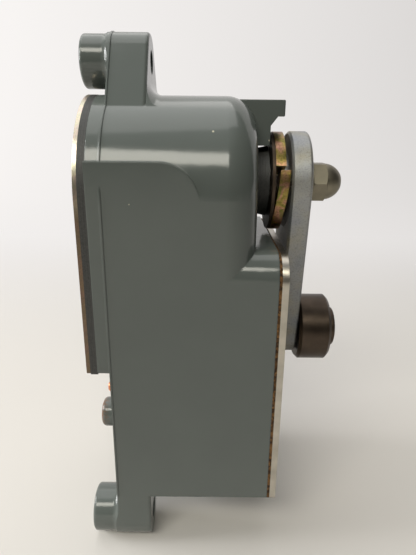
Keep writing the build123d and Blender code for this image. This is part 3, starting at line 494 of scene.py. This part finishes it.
def cork_and_rubber(colours, detail):
    """Cork granules bound with rubber: brown, rough, with pale and dark grains."""
    finish, tree, shader, place = start_finish("cork_and_rubber", 0.0, 0.9, ior=1.45)
    cells = add_node(
        tree,
        "ShaderNodeTexVoronoi",
        values={"Scale": 1 / detail.cork_grain},
        links={"Vector": place},
    )
    split = add_node(tree, "ShaderNodeSeparateColor", links={"Color": cells.outputs["Color"]})
    tone = add_node(
        tree,
        "ShaderNodeValToRGB",
        links={"Fac": split.outputs["Red"]},
        stops=(
            (0.2, scaled(colours.cork, 0.35)),
            (0.6, colours.cork),
            (1.0, scaled(colours.cork, 2.2)),
        ),
    )
    tree.links.new(tone.outputs["Color"], shader.inputs["Base Color"])
    soft_bump(tree, shader, cells.outputs["Distance"], CORK_RELIEF, detail.metal_edge)
    return finish


def turned_metal(name, colour, roughness, detail, spread=0.25, metallic=1.0):
    """Turned or rolled metal: one colour with soft patches, and fine marks at steps along X."""
    finish, tree, shader, place = start_finish(name, metallic, roughness)
    patch = add_node(
        tree,
        "ShaderNodeTexNoise",
        values={"Scale": 1 / detail.plating_patch, "Detail": 4.0},
        links={"Vector": place},
    )
    tone = add_node(
        tree,
        "ShaderNodeValToRGB",
        links={"Fac": patch.outputs["Fac"]},
        stops=((0.3, scaled(colour, 1 - spread)), (0.7, scaled(colour, 1 + spread))),
    )
    tree.links.new(tone.outputs["Color"], shader.inputs["Base Color"])
    axes = add_node(tree, "ShaderNodeSeparateXYZ", links={"Vector": place})
    steps = add_node(
        tree,
        "ShaderNodeTexNoise",
        {"noise_dimensions": "1D"},
        {"Scale": 1 / detail.turning_mark, "Detail": 3.0, "Roughness": 0.7},
        {"W": axes.outputs["X"]},
    )
    soft_bump(tree, shader, steps.outputs["Fac"], TURNED_RELIEF, detail.metal_edge)
    return finish


def bare_zinc_casting(colours, detail):
    """Bare zinc die casting: dull grey with a grainy skin and warm and cool tarnish."""
    finish, tree, shader, place = start_finish("bare_zinc_casting", 0.9, 0.5)
    patch = add_node(
        tree,
        "ShaderNodeTexNoise",
        values={"Scale": 1 / (2 * detail.plating_patch), "Detail": 3.0},
        links={"Vector": place},
    )
    tarnish = add_node(
        tree,
        "ShaderNodeValToRGB",
        links={"Fac": patch.outputs["Fac"]},
        stops=(
            (0.3, colours.cool_zinc),
            (0.5, colours.casting),
            (0.7, colours.warm_zinc),
        ),
    )
    grain = add_node(
        tree,
        "ShaderNodeTexNoise",
        values={"Scale": 1 / detail.casting_grain, "Detail": 5.0, "Roughness": 0.7},
        links={"Vector": place},
    )
    pits = add_node(
        tree,
        "ShaderNodeMapRange",
        values={"From Min": 0.3, "From Max": 0.5, "To Min": 0.55, "To Max": 1.0},
        links={"Value": grain.outputs["Fac"]},
    )
    # Painted shade: the arm is darker towards its roller end, down to half brightness there.
    axes = add_node(tree, "ShaderNodeSeparateXYZ", links={"Vector": place})
    arm = add_node(
        tree,
        "ShaderNodeMapRange",
        values={"From Min": ARM_END, "From Max": ARM_HUB, "To Min": 0.5, "To Max": 1.0},
        links={"Value": axes.outputs["Z"]},
    )
    pits_and_painted_shade = add_node(
        tree,
        "ShaderNodeMath",
        {"operation": "MULTIPLY"},
        links={0: pits.outputs["Result"], 1: arm.outputs["Result"]},
    )
    toned = add_node(
        tree,
        "ShaderNodeMix",
        {"data_type": "RGBA", "blend_type": "MULTIPLY"},
        {"Factor": 1.0},
        {"A": tarnish.outputs["Color"], "B": pits_and_painted_shade.outputs["Value"]},
    )
    tree.links.new(toned.outputs["Result"], shader.inputs["Base Color"])
    soft_bump(tree, shader, grain.outputs["Fac"], CASTING_RELIEF, detail.metal_edge)
    return finish


def rusted_steel(colours, detail):
    """Steel under brown rust: rough, orange and near black in patches."""
    finish, tree, shader, place = start_finish("rusted_steel", 0.2, 0.85)
    patch = add_node(
        tree,
        "ShaderNodeTexNoise",
        values={"Scale": 1 / (2 * detail.plating_grain), "Detail": 5.0},
        links={"Vector": place},
    )
    tone = add_node(
        tree,
        "ShaderNodeValToRGB",
        links={"Fac": patch.outputs["Fac"]},
        stops=((0.35, scaled(colours.rust, 0.4)), (0.65, scaled(colours.rust, 1.5))),
    )
    tree.links.new(tone.outputs["Color"], shader.inputs["Base Color"])
    soft_bump(tree, shader, patch.outputs["Fac"], RUST_RELIEF, detail.metal_edge)
    return finish


def moulded_phenolic(name, colour, detail):
    """Phenolic moulding: dark, half gloss, with a faint flow pattern."""
    finish, tree, shader, place = start_finish(name, 0.0, 0.4, ior=1.6)
    flow = add_node(
        tree,
        "ShaderNodeTexNoise",
        values={"Scale": 1 / detail.plating_patch, "Detail": 3.0, "Distortion": 1.0},
        links={"Vector": place},
    )
    tone = add_node(
        tree,
        "ShaderNodeValToRGB",
        links={"Fac": flow.outputs["Fac"]},
        stops=((0.3, scaled(colour, 0.8)), (0.7, scaled(colour, 1.3))),
    )
    tree.links.new(tone.outputs["Color"], shader.inputs["Base Color"])
    soft_bump(tree, shader, flow.outputs["Fac"], PHENOLIC_RELIEF, detail.metal_edge)
    return finish


def dress(finish, *names):
    """Give CAD nodes one finish, in their material slots only."""
    for name in names:
        piece = frame["nodes"][name]
        if not piece.material_slots:
            piece.data.materials.append(finish)
        for slot in piece.material_slots:
            slot.material = finish


def new_piece(name, mesh, finish, body):
    """Link a finished mesh into the scene, on its body and with its slot."""
    piece = bpy.data.objects.new(name, mesh)
    mesh.materials.append(finish)
    bpy.context.scene.collection.objects.link(piece)
    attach(piece, body)


class SWITCH_OT_housing(bpy.types.Operator):
    """Paint the casting in grey-green enamel"""

    bl_idname = "switch.housing"
    bl_label = "Housing"

    def execute(self, context):
        scene = context.scene
        dress(grey_green_enamel(scene.switch_colours, scene.switch_detail), "housing")
        return {"FINISHED"}


class SWITCH_OT_covers(bpy.types.Operator):
    """Finish both covers, their gaskets and their screws"""

    bl_idname = "switch.covers"
    bl_label = "Covers and gaskets"

    def execute(self, context):
        colours = context.scene.switch_colours
        detail = context.scene.switch_detail
        dress(moulded_rubber(colours, detail), "rear_gasket", "shaft_seal")
        pale = yellow_chromate(
            colours, detail, "pale_yellow_chromate", pale=1.2, bare=0.6, darker_below=COVER_DARKER_BELOW
        )
        dress(pale, "rear_cover")
        dress(cork_and_rubber(colours, detail), "front_gasket")
        dress(turned_metal("nickel_plated_sheet", colours.nickel, 0.3, detail, 0.12), "front_cover")
        screws = turned_metal("zinc_plated_screws", colours.steel, 0.32, detail, 0.15)
        dress(screws, "rear_cover_screws", "front_cover_screws")
        return {"FINISHED"}


class SWITCH_OT_back_hardware(bpy.types.Operator):
    """Finish the plug and the ground screw on the back"""

    bl_idname = "switch.back_hardware"
    bl_label = "Plug and ground screw"

    def execute(self, context):
        colours = context.scene.switch_colours
        detail = context.scene.switch_detail
        dress(rusted_steel(colours, detail), "rear_plug")
        dress(turned_metal("copper_plated_steel", colours.copper, 0.35, detail), "ground_screw")
        return {"FINISHED"}


class SWITCH_OT_shaft(bpy.types.Operator):
    """Finish the shaft, its washers and its nut"""

    bl_idname = "switch.shaft"
    bl_label = "Shaft, washers and nut"

    def execute(self, context):
        colours = context.scene.switch_colours
        detail = context.scene.switch_detail
        dress(turned_metal("ground_steel", colours.steel, 0.25, detail, 0.08), "shaft", "crank_pin")
        dress(turned_metal("dark_washer_steel", colours.oxide, 0.5, detail), "backing_washer")
        dress(yellow_chromate(colours, detail, "yellow_chromate", pale=0.75), "split_lock_washer")
        nut = turned_metal("olive_chromate", colours.olive, 0.42, detail, 0.12, 0.85)
        dress(nut, "cap_nut", "nut_washer")
        return {"FINISHED"}


class SWITCH_OT_lever(bpy.types.Operator):
    """Finish the bare lever casting"""

    bl_idname = "switch.lever"
    bl_label = "Lever"

    def execute(self, context):
        scene = context.scene
        dress(bare_zinc_casting(scene.switch_colours, scene.switch_detail), "lever")
        return {"FINISHED"}


class SWITCH_OT_roller(bpy.types.Operator):
    """Finish the roller, its bushing and its pin"""

    bl_idname = "switch.roller"
    bl_label = "Roller"

    def execute(self, context):
        colours = context.scene.switch_colours
        detail = context.scene.switch_detail
        oxide = turned_metal("black_oxide_steel", colours.oxide, 0.36, detail, 0.2, 0.9)
        dress(oxide, "roller", "roller_pin")
        bronze = turned_metal("sintered_bronze", colours.brass, 0.5, detail)
        dress(bronze, "roller_bushing", "shaft_bushing")
        return {"FINISHED"}


class SWITCH_OT_mechanism(bpy.types.Operator):
    """Finish the crank, the slide, the springs and the contacts inside"""

    bl_idname = "switch.mechanism"
    bl_label = "Mechanism and contacts"

    def execute(self, context):
        colours = context.scene.switch_colours
        detail = context.scene.switch_detail
        plated = turned_metal("zinc_plated_steel", colours.steel, 0.38, detail, 0.15)
        dress(plated, "crank", "operating_slide", "slide_guide")
        dress(plated, "guide_screws", "carriage_screw", "block_screws")
        dark = turned_metal("spring_steel", scaled(colours.steel, 0.4), 0.4, detail, 0.1)
        dress(dark, "retaining_ring", "crank_screw")
        dress(dark, "lower_spring", "upper_spring", "contact_springs")
        dress(moulded_phenolic("brown_phenolic", colours.brown_phenolic, detail), "carriage")
        dress(moulded_phenolic("black_phenolic", colours.phenolic, detail), "contact_block")
        brass = turned_metal("stamped_brass", colours.brass, 0.33, detail, 0.12)
        dress(brass, "moving_contact", "upper_contacts", "lower_contacts")
        dress(brass, "terminal_clamps", "terminal_screws")
        return {"FINISHED"}


class SWITCH_OT_conduit_thread(bpy.types.Operator):
    """Cut the thread that shows in the conduit entry"""

    bl_idname = "switch.conduit_thread"
    bl_label = "Conduit thread"

    def execute(self, context):
        detail = context.scene.switch_detail
        entry = next(m for m in frame["record"]["mounts"] if m["name"] == "conduit_entry")
        radius = entry["dims"]["r_mm"] * MM
        length = entry["dims"]["length_mm"] * MM
        base = Vector(entry["pos_m"])
        turns = (length - detail.thread_pitch) / detail.thread_pitch
        count = int(turns * detail.thread_steps)
        # The root lies a little inside the wall, and the crest is narrow
        root = radius + 0.05 * MM
        crest = radius - detail.thread_depth
        crest_start = 0.42 * detail.thread_pitch
        crest_end = 0.58 * detail.thread_pitch
        profile = (
            (root, 0.0),
            (crest, crest_start),
            (crest, crest_end),
            (root, detail.thread_pitch),
        )
        mesh = bmesh.new()
        rows = []
        for step in range(count + 1):
            angle = 2 * math.pi * step / detail.thread_steps
            rise = detail.thread_pitch * step / detail.thread_steps
            across, along = math.cos(angle), math.sin(angle)
            places = [(reach * across, reach * along, rise + height) for reach, height in profile]
            rows.append([mesh.verts.new(base + Vector(place)) for place in places])
        for low, high in zip(rows, rows[1:]):
            for index in range(len(profile) - 1):
                mesh.faces.new((low[index], low[index + 1], high[index + 1], high[index]))
            mesh.faces.new((low[-1], low[0], high[0], high[-1]))
        mesh.faces.new(rows[0])
        mesh.faces.new(reversed(rows[-1]))
        bmesh.ops.recalc_face_normals(mesh, faces=mesh.faces)
        made = bpy.data.meshes.new("conduit_thread")
        mesh.to_mesh(made)
        mesh.free()
        casting = context.scene.switch_colours.casting
        finish = turned_metal("machined_zinc", casting, 0.4, detail, 0.1)
        new_piece("conduit_thread", made, finish, "switch_body")
        return {"FINISHED"}


# Middle of the switch, which every lamp faces
LAMP_AIM = (0.03, 0.0, 0.06)
# Each lamp's name, place, size, colour and the studio setting with its watts
LAMPS = (
    ("overhead_softbox", (-0.05, 0.16, 0.66), (0.6, 0.6), (1.0, 0.98, 0.96), "key_light"),
    ("left_softbox", (-0.75, 0.0, 0.32), (0.35, 0.35), (1.0, 1.0, 1.0), "side_light"),
    ("window", (-0.18, -0.68, 0.76), (0.78, 0.26), (1.0, 0.97, 0.86), "window_light"),
)


def area_light(name, place, target, size, watts, colour):
    """A soft rectangular lamp that faces a point."""
    lamp = bpy.data.lights.new(name, "AREA")
    lamp.shape = "RECTANGLE"
    lamp.size, lamp.size_y = size
    lamp.energy = watts
    lamp.color = colour
    holder = bpy.data.objects.new(name, lamp)
    holder.location = place
    holder.rotation_euler = (Vector(target) - Vector(place)).to_track_quat("-Z", "Y").to_euler()
    bpy.context.scene.collection.objects.link(holder)


class SWITCH_OT_studio(bpy.types.Operator):
    """Set the camera, the paper sweep and the lights"""

    bl_idname = "switch.studio"
    bl_label = "Studio"

    def execute(self, context):
        studio = context.scene.switch_studio
        self.set_camera(context, studio)
        self.lay_paper(context, studio)
        self.light(context, studio)
        return {"FINISHED"}

    def set_camera(self, context, studio):
        """A camera at the photo's place, angle and lens."""
        lens = bpy.data.cameras.new("camera")
        lens.lens = studio.lens
        lens.clip_start = 0.01
        holder = bpy.data.objects.new("camera", lens)
        context.scene.collection.objects.link(holder)
        turn = (
            Matrix.Rotation(-studio.camera_yaw, 4, "Z")
            @ Matrix.Rotation(math.pi / 2 - studio.camera_pitch, 4, "X")
            @ Matrix.Rotation(studio.camera_roll, 4, "Z")
        )
        holder.matrix_world = Matrix.Translation(studio.camera_place) @ turn
        context.scene.camera = holder

    def lay_paper(self, context, studio):
        """A sheet that lies under the switch and sweeps up behind it."""
        floor_height = CAD_BOX[0].z
        bend_start, bend_radius, wall_height, half_width, front = 0.55, 0.35, 1.6, 2.2, -1.6
        profile = [(front, floor_height), (bend_start, floor_height)]
        steps = 16
        for step in range(1, steps + 1):
            angle = math.pi / 2 * step / steps
            profile.append(
                (
                    bend_start + bend_radius * math.sin(angle),
                    floor_height + bend_radius * (1 - math.cos(angle)),
                )
            )
        profile.append((bend_start + bend_radius, floor_height + wall_height))
        mesh = bmesh.new()
        rows = [
            [mesh.verts.new((side * half_width, y, z)) for side in (-1, 1)] for y, z in profile
        ]
        for low, high in zip(rows, rows[1:]):
            mesh.faces.new((low[0], low[1], high[1], high[0])).smooth = True
        made = bpy.data.meshes.new("paper_sweep")
        mesh.to_mesh(made)
        mesh.free()
        sweep = bpy.data.objects.new("paper_sweep", made)
        context.scene.collection.objects.link(sweep)
        made.materials.append(self.paper(studio))

    def paper(self, studio):
        """Matt paper that keeps shadows near the switch and glows pale further off, with painted
        light to the left and painted shade to the right; bounce light sees painted shade on it in
        front of the switch.
        """
        finish, tree, shader, place = start_finish("matt_paper", 0.0, 0.9, studio.floor)
        axes = add_node(tree, "ShaderNodeSeparateXYZ", links={"Vector": place})
        far = add_node(
            tree,
            "ShaderNodeMapRange",
            {"interpolation_type": "SMOOTHSTEP"},
            {"From Min": 0.04, "From Max": 0.35},
            {"Value": axes.outputs["Y"]},
        )
        path = add_node(tree, "ShaderNodeLightPath")
        seen = add_node(
            tree,
            "ShaderNodeMath",
            {"operation": "MAXIMUM"},
            links={0: path.outputs["Is Camera Ray"], 1: path.outputs["Is Glossy Ray"]},
        )
        share = add_node(
            tree,
            "ShaderNodeMath",
            {"operation": "MULTIPLY"},
            links={0: far.outputs["Result"], 1: seen.outputs["Value"]},
        )
        # Painted light and shade: the glowing paper is lighter to the left and darker to the right,
        # as light from the left falls off across it.
        across = add_node(
            tree,
            "ShaderNodeMapRange",
            values={"From Min": -0.35, "From Max": 0.45},
            links={"Value": axes.outputs["X"]},
        )
        tone = add_node(
            tree,
            "ShaderNodeValToRGB",
            links={"Fac": across.outputs["Result"]},
            stops=(
                (0.0, scaled(studio.background, 1.13)),
                (0.5, studio.background),
                (1.0, scaled(studio.background, 0.86)),
            ),
        )
        glow_with_painted_light_and_shade = add_node(tree, "ShaderNodeEmission", links={"Color": tone.outputs["Color"]})
        # Painted shade for bounce light: diffuse rays see the paper in front of the switch as near
        # black, so it throws little light back on its side.
        front = add_node(
            tree,
            "ShaderNodeMapRange",
            {"interpolation_type": "SMOOTHSTEP"},
            {"From Min": -0.04, "From Max": -0.12},
            {"Value": axes.outputs["Y"]},
        )
        painted_shade_share = add_node(
            tree,
            "ShaderNodeMath",
            {"operation": "MULTIPLY"},
            links={0: front.outputs["Result"], 1: path.outputs["Is Diffuse Ray"]},
        )
        dark = add_node(
            tree, "ShaderNodeBsdfDiffuse", values={"Color": (*scaled(studio.floor, 0.08), 1.0)}
        )
        sheet = add_node(
            tree,
            "ShaderNodeMixShader",
            links={0: painted_shade_share.outputs["Value"], 1: shader.outputs["BSDF"], 2: dark.outputs["BSDF"]},
        )
        both = add_node(
            tree,
            "ShaderNodeMixShader",
            links={
                0: share.outputs["Value"],
                1: sheet.outputs["Shader"],
                2: glow_with_painted_light_and_shade.outputs["Emission"],
            },
        )
        tree.links.new(both.outputs["Shader"], tree.nodes["Material Output"].inputs["Surface"])
        return finish

    def light(self, context, studio):
        """A dim room with an overhead softbox, a low light from the left and a window."""
        world = bpy.data.worlds.new("room")
        context.scene.world = world
        world.use_nodes = True
        tree = world.node_tree
        base = tree.nodes["Background"]
        base.inputs["Strength"].default_value = studio.world_light
        way = add_node(tree, "ShaderNodeTexCoord").outputs["Generated"]
        # The room is bright overhead and to the left, and dark behind the camera
        toward = add_node(
            tree,
            "ShaderNodeVectorMath",
            {"operation": "DOT_PRODUCT"},
            {1: (-0.36, 0.15, 0.92)},
            {0: way},
        )
        sky = add_node(
            tree,
            "ShaderNodeValToRGB",
            links={"Fac": toward.outputs["Value"]},
            stops=(
                (0.0, from_hex("#242527")),
                (0.55, from_hex("#4A4B4E")),
                (1.0, from_hex("#BCC0C4")),
            ),
        )
        tree.links.new(sky.outputs["Color"], base.inputs["Color"])
        for name, place, size, colour, watts in LAMPS:
            area_light(name, place, LAMP_AIM, size, getattr(studio, watts), colour)
        view = context.scene.view_settings
        view.view_transform = "Standard"


PIECES = (
    SWITCH_OT_housing,
    SWITCH_OT_covers,
    SWITCH_OT_back_hardware,
    SWITCH_OT_shaft,
    SWITCH_OT_lever,
    SWITCH_OT_roller,
    SWITCH_OT_mechanism,
    SWITCH_OT_conduit_thread,
    SWITCH_OT_studio,
)


class SWITCH_PT_pieces(bpy.types.Panel):
    """Sidebar panel with the colours, the sizes and one button for each group of pieces"""

    bl_label = "Limit Switch"
    bl_space_type = "VIEW_3D"
    bl_region_type = "UI"
    bl_category = "Switch"

    def draw(self, context):
        scene = context.scene
        for group in (scene.switch_colours, scene.switch_detail, scene.switch_studio):
            box = self.layout.box()
            for name in group.__annotations__:
                box.prop(group, name)
        for piece in PIECES:
            self.layout.operator(piece.bl_idname)


GROUPS = (
    ("switch_colours", SwitchColours),
    ("switch_detail", SwitchDetail),
    ("switch_studio", SwitchStudio),
)


def register():
    """Add the settings, the operators and the panel."""
    for name, group in GROUPS:
        bpy.utils.register_class(group)
        setattr(bpy.types.Scene, name, PointerProperty(type=group))
    for made in (*PIECES, SWITCH_PT_pieces):
        bpy.utils.register_class(made)


def unregister():
    """Take out what register added."""
    for made in (SWITCH_PT_pieces, *reversed(PIECES)):
        bpy.utils.unregister_class(made)
    for name, group in reversed(GROUPS):
        delattr(bpy.types.Scene, name)
        bpy.utils.unregister_class(group)


def main():
    """Register and make every piece in order."""
    register()
    for piece in PIECES:
        category, name = piece.bl_idname.split(".")
        if getattr(getattr(bpy.ops, category), name)() != {"FINISHED"}:
            raise RuntimeError(f"{piece.bl_label} was not finished")


if __name__ == "__main__":
    main()
